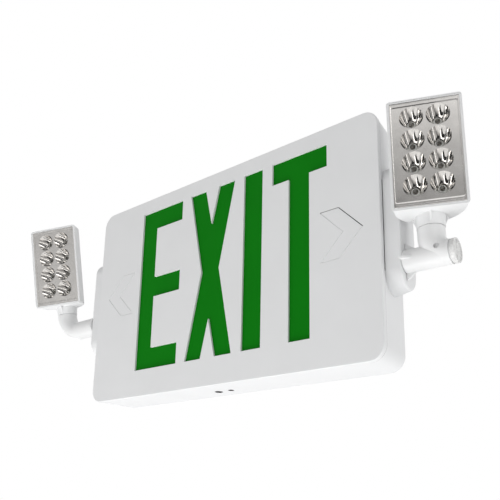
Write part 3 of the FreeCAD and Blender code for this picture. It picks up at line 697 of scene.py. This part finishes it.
# %% [markdown]
# Each hole's place comes from the box of the piece that sits in it, and its radius from the size
# of the hole. The shades are multiplied together, so that they can overlap without harm.

# %% Shade in the two holes
hole_radius = {"test_button": 3.4 * mm, "pilot_light": 2.5 * mm}
for node, radius in hole_radius.items():
    low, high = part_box(node)
    centre = ((low[0] + high[0]) / 2, (low[1] + high[1]) / 2, 0)
    hole = add(tree, "Group", {"Place": place, "Axis": centre, "Radius": radius}, node_tree=pit)
    kept = maths(tree, "MULTIPLY", kept, hole.outputs["Shade"])
print("holes shaded:", ", ".join(hole_radius))

# %% [markdown]
# Painted shade darkens the right chevron's groove along its top and along the edge that leans from there to its
# tip. That groove is cut no deeper than the others, and the darker line is only colour laid on the plastic. A
# leaning edge is the set of points whose across and up, added at the edge's slope, come to one number. That
# number, the depth below the face and the place along the edge each give a mask of ones and zeros, and the three
# are multiplied.

# %% Painted shade in the right chevron's upper grooves
def within(value, middle, reach):
    """1 where a value lies within reach of the middle, and 0 further away."""
    off = maths(tree, "ABSOLUTE", maths(tree, "SUBTRACT", value, middle))
    return remap(tree, off, reach, reach + 0.1 * mm, 1.0, 0.0)


slope = chevron_lean / chevron_half
top_edge = chevron_level + chevron_half
outer_line = chevron_start + chevron_stroke + slope * top_edge
# Painted shade: where all masks are one, the groove keeps only the share left_over of its colour.
for direction, line, axis, middle, half_length, left_over in (
        ((1, 0, slope), outer_line, "Z", chevron_level + chevron_half / 2, chevron_half / 2, 0.1),
        ((0, 0, 1), top_edge, "X", chevron_start + chevron_stroke / 2, chevron_stroke / 2, 0.5)):
    level = add(tree, "VectorMath", {0: place, 1: direction}, operation="DOT_PRODUCT")
    # deep marks where the painted shade goes, inside the groove along one edge, and not a deeper cut.
    deep = within(spot.outputs["Y"], face_front + 0.3 * mm, 0.2 * mm)
    for mask in (within(level.outputs["Value"], line, groove_width),
                 within(spot.outputs[axis], middle, half_length)):
        deep = maths(tree, "MULTIPLY", deep, mask)
    kept = maths(tree, "MULTIPLY", kept, remap(tree, deep, 0.0, 1.0, 1.0, left_over))
print("deeper scores shaded, tip at", round(chevron_start + chevron_stroke + chevron_lean, 4))

# %% [markdown]
# All these shades are now one number, and it scales the colour that the plastic group gives. The
# group's node is found by the group it holds, and the shader's colour is linked anew.

# %% Dim the sign's colour
skin = [n for n in tree.nodes if n.bl_idname == "ShaderNodeGroup" and n.node_tree == moulded]
feed(tree, tree.nodes["Principled BSDF"].inputs,
     Base_Color=dimmed(tree, skin[0].outputs["Color"], kept))
print("sign finish has", len(tree.nodes), "nodes")

# %% [markdown]
# The end cap is a small snap-in disc from a coarser mould. Its face is mottled, as plastic is
# near the spot where it was cut from its runner, so a finer noise scales the group's colour.

# %% End cap
material, tree, shader, place = new_finish("cap_plastic", IOR=1.46)
skin = wear(tree, shader, moulded, Place=place, Tint=(0.80, 0.80, 0.79, 1), Clouds=0.06,
            Base_Roughness=0.5, Grain=0.6)
mottle = noise(tree, place, 420.0, 4.0, Roughness=0.65)
patch = remap(tree, mottle, 0.35, 0.62, 0.80, 1.02)
feed(tree, shader.inputs, Base_Color=dimmed(tree, skin.outputs["Color"], patch))
finishes["cap_plastic"] = material
print("end cap is mottled")

# %% [markdown]
# The legend panel behind the letters is dyed acrylic. By day it looks deep and even, because
# light goes in and little comes out, so its surface gloss is kept low and its colour dark. A
# fine grain scatters the lamps' light when it is lit, and shows as a faint change of colour.

# %% Green legend panel
material, tree, shader, place = new_finish("legend_green", Specular_IOR_Level=0.03)
wear(tree, shader, moulded, Place=place, Tint=(0.0035, 0.196, 0.0050, 1), Clouds=0.06,
     Base_Roughness=0.55, Grain=0.12)
finishes["legend_green"] = material
print("legend is green")

# %% [markdown]
# The lens is clear moulded plastic. It is nearly smooth, but no moulding is optically flat: a
# slow ripple bends reflections a little, and fine handling marks dull it in places. A thin even
# wall hardly shifts what is seen through it, so its index is set below that of solid plastic,
# and a thin coat gives back the shine. Transmission is a plain value, as the export wants it.

# %% Clear lens
material, tree, shader, place = new_finish("clear_lens", IOR=1.18, Transmission_Weight=1.0,
                                           Metallic=0.0, Coat_Weight=0.35,
                                           Coat_Roughness=0.03)
ripple = noise(tree, place, 55.0, 1.0)
haze = noise(tree, place, 160.0, 4.0)
feed(tree, shader.inputs, Base_Color=remap(tree, haze, 0.0, 1.0, 0.96, 1.0),
     Roughness=remap(tree, haze, 0.45, 0.8, 0.0, 0.012),
     Normal=bump(tree, ripple, 0.25, 0.4 * mm))
finishes["clear_lens"] = material
print("lens is clear")

# %% [markdown]
# Several pieces are metal: the bright reflectors, the spring clips, the battery's strap and the
# transformer's core. Rolled or brushed metal has streaks, which are noise that is stretched
# along one direction. The group takes the stretch as a vector, so that the same group also
# gives the even orange-peel of a metallised moulding.

# %% Metal group
metal, given, result = new_group(
    "streaked_metal",
    [("Place", "Vector", None), ("Stretch", "Vector", (1, 1, 1)),
     ("Tint", "Color", (0.6, 0.6, 0.6, 1)), ("Base Roughness", "Float", 0.3),
     ("Depth", "Float", 0.2)],
    [("Color", "Color"), ("Roughness", "Float"), ("Normal", "Vector")])
pulled = vectors(metal, "MULTIPLY", given["Place"], given["Stretch"])
streak = noise(metal, pulled, 1.0, 4.0, Roughness=0.6)
tarnish = noise(metal, given["Place"], 90.0, 3.0)
tone = remap(metal, tarnish, 0.3, 0.7, 0.9, 1.0)
spread = remap(metal, streak, 0.0, 1.0, -0.08, 0.12)
feed(metal, result, Color=dimmed(metal, given["Tint"], tone),
     Roughness=maths(metal, "ADD", given["Base Roughness"], spread),
     Normal=bump(metal, streak, given["Depth"], 0.05 * mm))
print("group made:", metal.name)

# %% [markdown]
# The reflector is metallised plastic, almost a mirror, with a faint ripple that is even in all
# directions. Clips and strap are rolled steel, so their streaks run along the sign's width: the
# stretch is small along it and large across it.

# %% Reflector, clips and strap
metals = {
    "bright_reflector": ((0.95, 0.935, 0.915, 1), (260, 260, 260), 0.04, 0.10),
    "spring_steel": ((0.50, 0.50, 0.51, 1), (60, 900, 900), 0.30, 0.25),
    "bracket_steel": ((0.62, 0.62, 0.60, 1), (80, 1400, 1400), 0.36, 0.30),
}
for slot, (tint, stretch, roughness, depth) in metals.items():
    material, tree, shader, place = new_finish(slot, Metallic=1.0)
    wear(tree, shader, metal, Place=place, Stretch=stretch, Tint=tint,
         Base_Roughness=roughness, Depth=depth)
    finishes[slot] = material
print("metals:", ", ".join(metals))

# %% [markdown]
# The transformer is a stack of thin steel sheets round a winding. The sheets show as fine lines
# on its sides, so a wave texture across the stack darkens the colour and pushes the surface in.

# %% Transformer
material, tree, shader, place = new_finish("transformer_steel")
sheets = add(tree, "TexWave", {"Vector": place, "Scale": 320.0, "Distortion": 0.4,
                               "Detail": 1.0}, wave_type="BANDS", bands_direction="Y")
rust = noise(tree, place, 260.0, 4.0)
line = add(tree, "ValToRGB", {"Fac": sheets.outputs["Fac"]})
for stop, colour in zip(line.color_ramp.elements,
                        ((0.05, 0.048, 0.045, 1), (0.36, 0.355, 0.35, 1))):
    stop.color = colour
feed(tree, shader.inputs, Base_Color=line.outputs["Color"],
     Roughness=remap(tree, rust, 0.0, 1.0, 0.35, 0.6),
     Metallic=remap(tree, rust, 0.5, 0.7, 0.9, 0.3),
     Normal=bump(tree, sheets.outputs["Fac"], 0.5, 0.1 * mm))
finishes["transformer_steel"] = material
print("transformer shows its sheets")

# %% [markdown]
# A circuit board is a tinted mask over copper. The copper tracks stand a little proud and look
# lighter through the mask. Cells with straight walls make believable tracks: the walls of a
# blocky Voronoi pattern are the tracks, and the middles of its cells are the solder points.

# %% Circuit board group
tracks, given, result = new_group(
    "board_tracks",
    [("Place", "Vector", None), ("Mask Tint", "Color", (0.03, 0.2, 0.08, 1)),
     ("Track Tint", "Color", (0.08, 0.34, 0.15, 1)), ("Cells", "Float", 170.0)],
    [("Color", "Color"), ("Roughness", "Float"), ("Normal", "Vector")])
cells = add(tracks, "TexVoronoi", {"Vector": given["Place"], "Scale": given["Cells"],
                                   "Randomness": 0.75}, distance="CHEBYCHEV")
wall = add(tracks, "MapRange", {"Value": cells.outputs["Distance"], "From Min": 0.42,
                                "From Max": 0.46}, interpolation_type="SMOOTHSTEP")
solder = add(tracks, "MapRange", {"Value": cells.outputs["Distance"], "From Min": 0.10,
                                  "From Max": 0.07}, interpolation_type="SMOOTHSTEP")
layer = add(tracks, "Mix", {0: wall.outputs["Result"], 6: given["Mask Tint"],
                            7: given["Track Tint"]}, data_type="RGBA")
points = add(tracks, "Mix", {0: solder.outputs["Result"], 6: layer.outputs[2],
                             7: (0.55, 0.55, 0.56, 1)}, data_type="RGBA")
height = maths(tracks, "ADD", wall.outputs["Result"], solder.outputs["Result"])
feed(tracks, result, Color=points.outputs[2],
     Roughness=remap(tracks, height, 0.0, 1.0, 0.38, 0.24),
     Normal=bump(tracks, height, 0.6, 0.06 * mm))
print("group made:", tracks.name)

# %% [markdown]
# Two kinds of board wear that group. The charger board is green, as most are. The boards of the
# lamps are white, because they should throw the lamps' light forward, and their tracks hardly
# show.

# %% Green and white boards
boards = (
    ("circuit_board", (0.02, 0.14, 0.06, 1), (0.05, 0.26, 0.11, 1), 170.0),
    ("white_board", (0.78, 0.79, 0.76, 1), (0.70, 0.71, 0.69, 1), 120.0),
)
for slot, mask, track, size in boards:
    material, tree, shader, place = new_finish(slot)
    wear(tree, shader, tracks, Place=place, Mask_Tint=mask, Track_Tint=track, Cells=size)
    finishes[slot] = material
print("boards:", ", ".join(board[0] for board in boards))

# %% [markdown]
# The battery cells and the capacitors wear shrink sleeve: thin glossy film, pulled tight, with fine lengthwise
# wrinkles. The lamps in the heads are clear domes whose colour is painted nearly black, as painted shade for the
# dark that a clear dome shows round the glint it catches. These shine under a clear coat. The pilot light is a
# dark red dome without one, and it is frosted.

# %% Sleeves, lamps and pilot light
glossy = {
    "battery_sleeve": ((0.030, 0.120, 0.360, 1), (0.050, 0.165, 0.450, 1), (500, 500, 20),
                       0.6),
    "capacitor_sleeve": ((0.015, 0.020, 0.045, 1), (0.030, 0.040, 0.075, 1), (400, 30, 400),
                         0.6),
    # The lamps' nearly black tones are painted shade, not the colour of the domes.
    "led_white": ((0.020, 0.018, 0.013, 1), (0.160, 0.150, 0.125, 1), (500, 500, 500), 1.0),
    "pilot_red": ((0.012, 0.002, 0.002, 1), (0.040, 0.005, 0.004, 1), (350, 350, 350), 0.0),
}
for slot, (deep, light, stretch, coat) in glossy.items():
    material, tree, shader, place = new_finish(slot, Coat_Weight=coat, Coat_Roughness=0.06,
                                               Specular_IOR_Level=0.5 if coat else 0.08)
    crease = noise(tree, vectors(tree, "MULTIPLY", place, stretch), 1.0, 3.0)
    tone = add(tree, "ValToRGB", {"Fac": crease})
    for stop, position, colour in zip(tone.color_ramp.elements, (0.3, 0.7), (deep, light)):
        stop.position, stop.color = position, colour
    frost = 0.0 if coat else 0.6
    feed(tree, shader.inputs, Base_Color=tone.outputs["Color"],
         Roughness=remap(tree, crease, 0.0, 1.0, 0.18 + frost, 0.34 + frost),
         Normal=bump(tree, crease, 0.3, 0.1 * mm))
    finishes[slot] = material
print("sleeves and lamps:", ", ".join(glossy))

# %% [markdown]
# Each piece now takes its finish by the name of its material slot. A solid that is still shown
# only has its material exchanged. Its mesh and place are left exactly as they were loaded.

# %% Give every piece its finish
for subpart in frame["record"]["subparts"]:
    solid = nodes[subpart["node"]]
    for holder in solid.material_slots:
        holder.material = finishes[subpart["material_slot"]]
for piece in [plate] + reflectors + lenses:
    piece.data.materials.clear()
    piece.data.materials.append(finishes[piece["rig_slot"]])
print("finishes in use:", len(finishes))

# %% [markdown]
# A white sign is best seen in even light, as in a light tent. A plain pale floor lies well below it, out of its
# way, and throws a little light up. The floor is painted with the same plastic group, with hardly any clouds.

# %% Floor
bpy.ops.object.select_all(action="DESELECT")
bpy.ops.mesh.primitive_plane_add(size=12, location=(0, 0, -1.4))
floor = settle(bpy.context.object)
floor.name = "floor"
material, tree, shader, place = new_finish("floor_paint", Roughness=0.6)
wear(tree, shader, moulded, Place=place, Tint=(0.82, 0.82, 0.82, 1), Clouds=0.02,
     Base_Roughness=0.6, Grain=0.05)
floor.data.materials.append(material)
print("floor lies at", round(floor.data.vertices[0].co.z, 2))

# %% [markdown]
# One large soft lamp stands low in front and lights the undersides, which rounds the arms and
# heads. A smaller one at the right lifts the sides that face it. Their round shapes would show
# as white blots in the bright bowls, so mirrors and clear pieces don't see them.

# %% Two soft lamps
def area_light(name, place, aim, width, power):
    """A soft round lamp that points at a place and that no mirror shows."""
    data = bpy.data.lights.new(name, "AREA")
    data.shape = "DISK"
    data.size = width
    data.energy = power
    lamp = bpy.data.objects.new(name, data)
    bpy.context.scene.collection.objects.link(lamp)
    lamp.location = place
    lamp.rotation_euler = (Vector(aim) - Vector(place)).to_track_quat("-Z", "Y").to_euler()
    lamp.visible_glossy = lamp.visible_transmission = False


area_light("low_soft_light", (-0.15, -0.45, -1.2), (-0.05, 0, 0), 1.4, 14.6)
area_light("side_soft_light", (1.5, 0.2, -0.2), (0.1, 0, 0), 0.8, 5.2)
print("two soft lamps stand below and at the right")

# %% [markdown]
# Polished metal looks like metal only when it has something light and dark to mirror. A studio
# hangs boards round the object for that. Each board here is a plane that faces the sign and
# glows by itself, in tones that change with height. The camera doesn't see it, and it neither
# lights the sign nor casts a shadow, so it changes nothing but the reflections.

# %% Board
def card(name, place, width, tall, tones, strength=1.0):
    """A board that only mirrors and clear pieces see, with its tones from foot to top."""
    bpy.ops.object.select_all(action="DESELECT")
    bpy.ops.mesh.primitive_plane_add(size=1, location=place)
    board = bpy.context.object
    board.name = name
    board.scale = (width, tall, 1)
    board.rotation_euler = (-Vector(place)).to_track_quat("Z", "Y").to_euler()
    settle(board)
    material, tree, shader, spot = new_finish(
        name, Base_Color=(0, 0, 0, 1), Specular_IOR_Level=0.0, Emission_Strength=strength)
    height = add(tree, "SeparateXYZ", {"Vector": spot}).outputs["Z"]
    share = remap(tree, height, place[2] - 0.5 * tall, place[2] + 0.5 * tall, 0.0, 1.0)
    ramp = add(tree, "ValToRGB", {"Fac": share})
    stops = ramp.color_ramp.elements
    stops.remove(stops[1])
    for k, tone in enumerate(tones):
        stop = stops.new(k / (len(tones) - 1)) if k else stops[0]
        stop.color = (tone, tone * 0.985, tone * 0.97, 1)
    feed(tree, shader.inputs, Emission_Color=ramp.outputs["Color"])
    board.data.materials.append(material)
    board.visible_camera = board.visible_diffuse = board.visible_shadow = False
    return board


print("boards can be hung")

# %% [markdown]
# A wide grey board gives the flat of the reflectors its tone. A dark board and a light one near
# it draw the strong streaks in the bowls. Posts at the right and rails below are narrow, in
# pairs of light and dark, and they draw the thin lines round the bowls' rims.

# %% Hang the boards
hung = [
    card("grey_board", (0.1, -2.4, 0.6), 5.0, 2.4, (0.58, 0.60, 0.50, 0.17, 0.50, 1.10)),
    card("light_board", (-0.75, -2.0, 1.35), 0.9, 0.8, (0.9, 1.0)),
    card("dark_board", (0.60, -1.9, 0.11), 0.85, 1.42, (0.0, 0.0)),
    card("light_post", (1.09, -1.10, 0.2), 0.15, 1.8, (1.0, 1.0), 3.2),
    card("dark_post", (1.34, -0.92, 0.2), 0.40, 1.8, (0.0, 0.0)),
    card("light_rail", (0.0, -0.42, -1.1), 3.5, 0.12, (1.0, 1.0), 4.0),
    card("dark_rail", (0.0, -0.80, -0.95), 3.5, 0.24, (0.0, 0.0)),
    card("far_dark_rail", (0.0, -1.25, -0.75), 3.5, 0.16, (0.0, 0.0)),
    card("far_light_rail", (0.0, -1.55, -0.5), 3.5, 0.14, (1.0, 1.0), 2.5),
]
print("boards hung:", len(hung))

# %% [markdown]
# The world is a soft white dome. What lights the sign is kept at a plain level, so that white
# plastic stays just below white. What the camera, metal and glass see directly is full white,
# and the Light Path node tells the two apart.

# %% White dome
world = bpy.data.worlds.new("studio")
bpy.context.scene.world = world
world.use_nodes = True
sky = world.node_tree
sky.nodes.clear()
path = add(sky, "LightPath")
direct = maths(sky, "MAXIMUM", path.outputs["Is Camera Ray"], path.outputs["Is Glossy Ray"])
direct = maths(sky, "MAXIMUM", direct, path.outputs["Is Transmission Ray"])
soft = add(sky, "Background", {"Color": (1, 1, 1, 1), "Strength": 0.63})
white = add(sky, "Background", {"Color": (1, 1, 1, 1), "Strength": 1.0})
mix = add(sky, "MixShader", {0: direct, 1: soft.outputs[0], 2: white.outputs[0]})
add(sky, "OutputWorld", {"Surface": mix.outputs[0]})
bpy.context.scene.view_settings.view_transform = "Standard"
print("dome gives", soft.inputs["Strength"].default_value, "of white to the sign")
